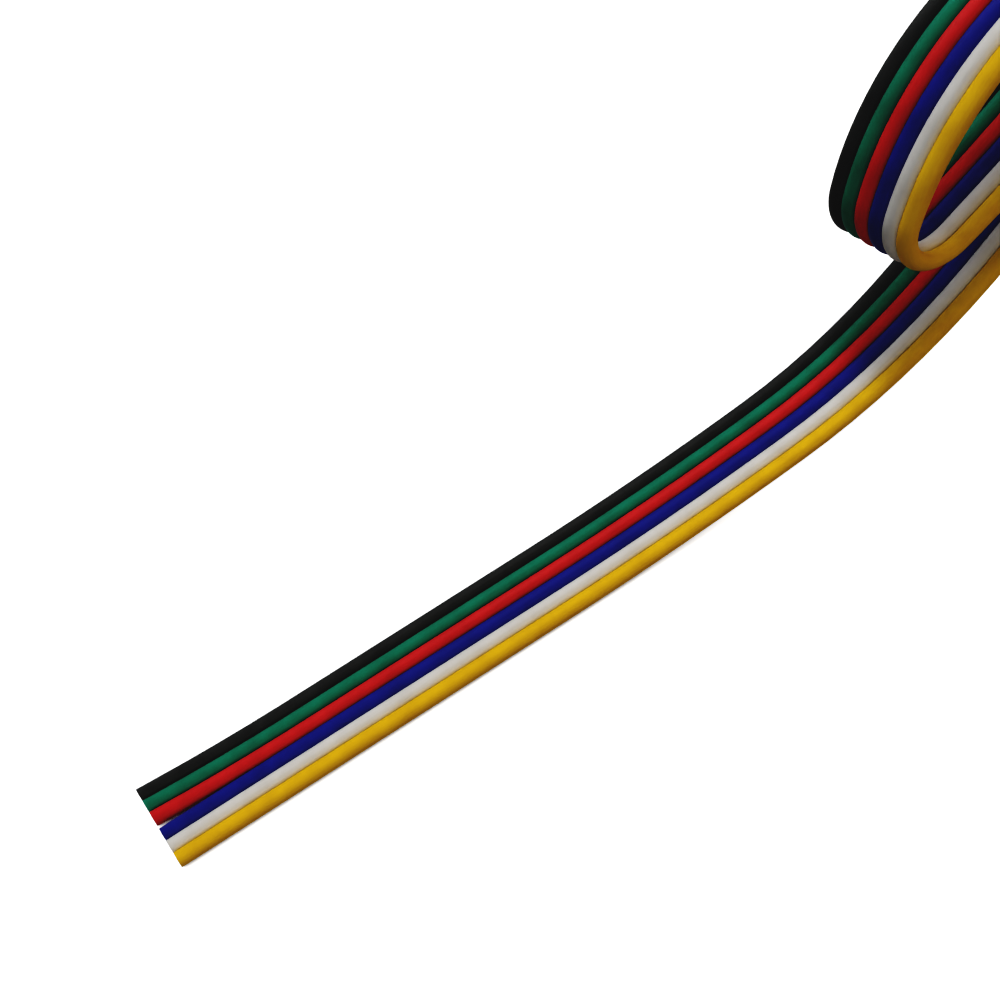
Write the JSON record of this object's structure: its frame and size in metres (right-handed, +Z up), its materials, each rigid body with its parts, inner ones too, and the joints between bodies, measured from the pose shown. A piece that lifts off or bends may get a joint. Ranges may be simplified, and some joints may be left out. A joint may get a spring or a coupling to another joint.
{
  "type": "flat led extension cable",
  "caption": "Flat ribbon of coloured insulated wires bonded side by side, with one cut end lying straight and the rest folded over and coiled into a loose roll, to extend LED strip lighting.",
  "frame": {"origin": "on the floor, at the middle of the cable's length and width", "axes": "+X along the flat length from the cut end to the roll, +Y across the ribbon from the yellow wire to the black wire, +Z up"},
  "size_m": [0.172, 0.0115, 0.0492],
  "materials": {
    "black_vinyl": "satin black PVC insulation",
    "green_vinyl": "satin green PVC insulation",
    "red_vinyl": "satin red PVC insulation",
    "blue_vinyl": "satin blue PVC insulation",
    "white_vinyl": "satin white PVC insulation",
    "yellow_vinyl": "satin yellow PVC insulation",
    "tinned_copper": "tinned stranded copper, seen only at the cut ends",
    "tie_plastic": "thin black plastic strip over a wire core"
  },
  "bodies": {
    "root": {"black_insulation": "black_vinyl", "green_insulation": "green_vinyl", "red_insulation": "red_vinyl", "blue_insulation": "blue_vinyl", "white_insulation": "white_vinyl", "yellow_insulation": "yellow_vinyl", "black_conductor": "tinned_copper", "green_conductor": "tinned_copper", "red_conductor": "tinned_copper", "blue_conductor": "tinned_copper", "white_conductor": "tinned_copper", "yellow_conductor": "tinned_copper", "roll_tie": "tie_plastic"}
  },
  "joints": []
}
